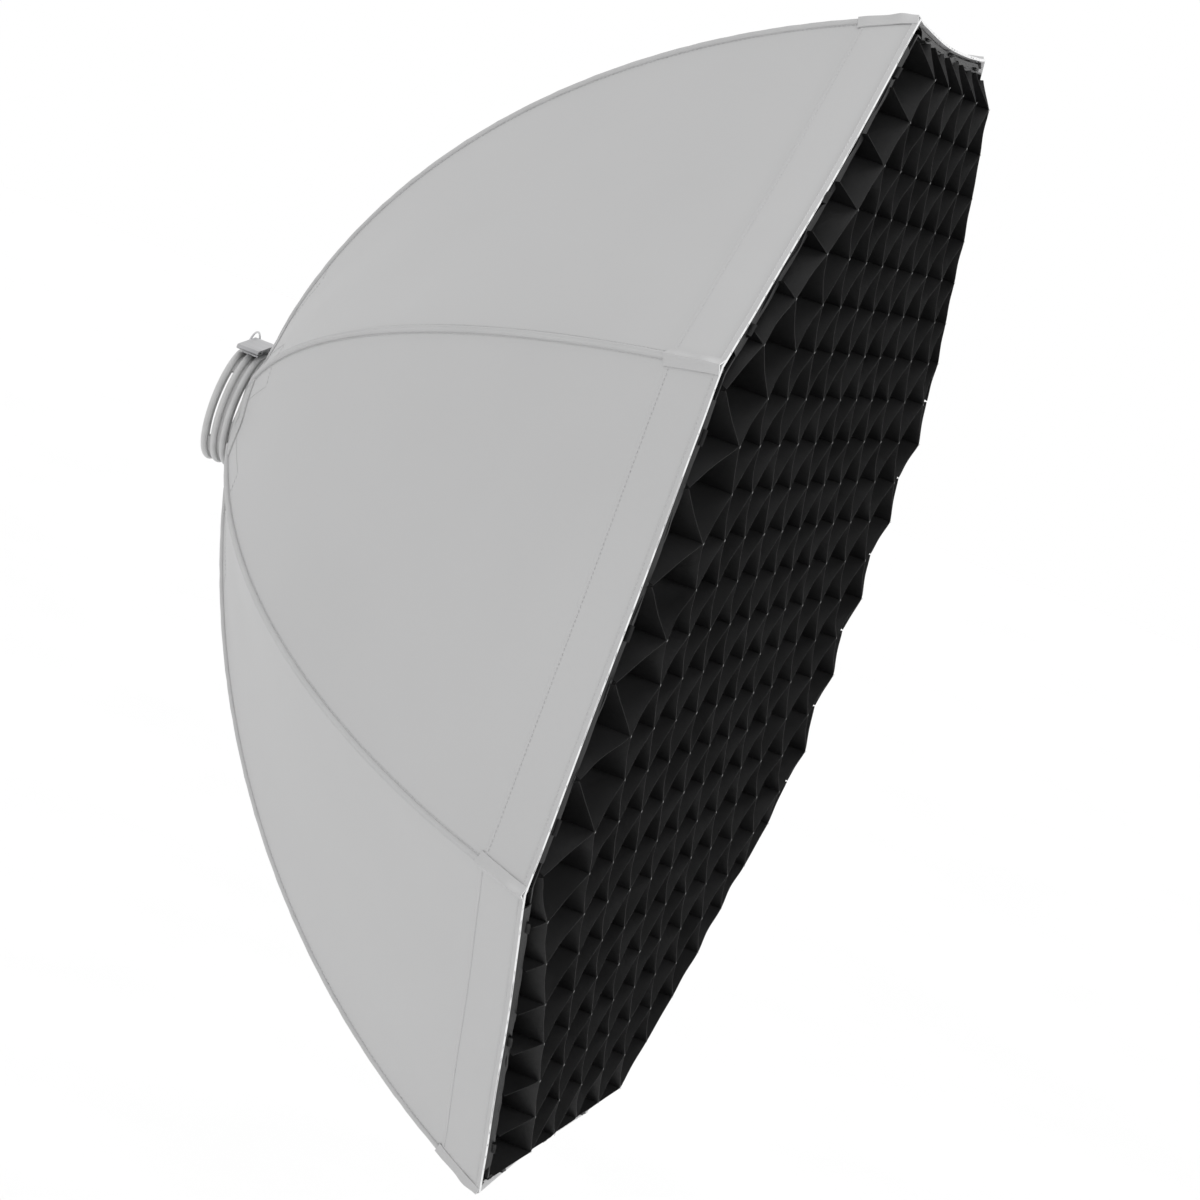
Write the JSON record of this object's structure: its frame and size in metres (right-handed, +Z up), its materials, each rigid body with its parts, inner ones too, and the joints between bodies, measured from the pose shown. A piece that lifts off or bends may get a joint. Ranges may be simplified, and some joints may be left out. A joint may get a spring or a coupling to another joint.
{
  "type": "octagonal softbox with fabric grid",
  "caption": "Deep octagonal fabric softbox on a ribbed clamp-on collar with a draw latch, with spring rods, white diffusers and a black fabric honeycomb grid on its front.",
  "frame": {"origin": "on the collar's bore axis, at the collar's rear rim", "axes": "+Z up, with a flat of the octagon on top; the light leaves along -Y and the light head mounts from +Y"},
  "size_m": [1.1176, 0.5542, 1.1176],
  "materials": {
    "shell_fabric": "coated ripstop, satin",
    "trim_fabric": "woven binding, satin",
    "grid_fabric": "woven polyester, satin black",
    "diffuser_fabric": "translucent white, matte",
    "hook_and_loop": "black, matte",
    "elastic": "black elastic, matte",
    "collar_plastic": "moulded, satin",
    "hub_metal": "machined, satin",
    "ring_metal": "die-cast, powder-coated",
    "latch_steel": "satin",
    "wire_steel": "satin",
    "rod_steel": "spring steel, satin",
    "dark_plastic": "moulded, matte"
  },
  "bodies": {
    "collar": {"collar_band": "collar_plastic", "turning_hub": "hub_metal", "retaining_ring": "hub_metal", "latch_base": "latch_steel", "latch_keeper": "latch_steel", "latch_pin": "wire_steel", "latch_rivets": "wire_steel"},
    "lever": {"latch_lever": "latch_steel"},
    "bail": {"latch_bail": "wire_steel"},
    "softbox": {"speedring": "ring_metal", "rod_sockets": "dark_plastic", "socket_screws": "wire_steel", "rod_tips": "dark_plastic", "tip_pockets": "trim_fabric", "lip_binding": "trim_fabric", "loop_tape": "hook_and_loop", "rear_cuff": "shell_fabric", "front_diffuser": "diffuser_fabric", "diffuser_tape": "hook_and_loop", "inner_baffle": "diffuser_fabric", "baffle_straps": "elastic", "baffle_clips": "dark_plastic", "shell_panel_1": "shell_fabric", "shell_panel_2": "shell_fabric", "shell_panel_3": "shell_fabric", "shell_panel_4": "shell_fabric", "shell_panel_5": "shell_fabric", "shell_panel_6": "shell_fabric", "shell_panel_7": "shell_fabric", "shell_panel_8": "shell_fabric", "rod_1": "rod_steel", "rod_2": "rod_steel", "rod_3": "rod_steel", "rod_4": "rod_steel", "rod_5": "rod_steel", "rod_6": "rod_steel", "rod_7": "rod_steel", "rod_8": "rod_steel", "seam_sleeve_1": "trim_fabric", "seam_sleeve_2": "trim_fabric", "seam_sleeve_3": "trim_fabric", "seam_sleeve_4": "trim_fabric", "seam_sleeve_5": "trim_fabric", "seam_sleeve_6": "trim_fabric", "seam_sleeve_7": "trim_fabric", "seam_sleeve_8": "trim_fabric"},
    "grid": {"grid_border": "grid_fabric", "grid_flaps": "hook_and_loop", "grid_strips_rising": "grid_fabric", "grid_strips_falling": "grid_fabric", "grid_tabs": "grid_fabric"}
  },
  "joints": [
    {"name": "softbox_turn", "type": "hinge", "parent": "collar", "child": "softbox", "pos_m": [0, 0, 0], "axis": [0, 1, 0], "continuous": true},
    {"name": "latch_open", "type": "hinge", "parent": "collar", "child": "lever", "pos_m": [0.01268, -0.013, 0.06066], "axis": [0, 1, 0], "range_deg": [0, 110]},
    {"name": "bail_swing", "type": "hinge", "parent": "lever", "child": "bail", "pos_m": [0.00413, -0.013, 0.05787], "axis": [0, 1, 0], "range_deg": [-154, 0]},
    {"name": "grid_pull_off", "type": "slide", "parent": "softbox", "child": "grid", "axis": [0, -1, 0], "range_m": [0, 0.12]}
  ],
  "couplings": [
    {"joint": "bail_swing", "follows": "latch_open", "ratio": -1.4}
  ]
}
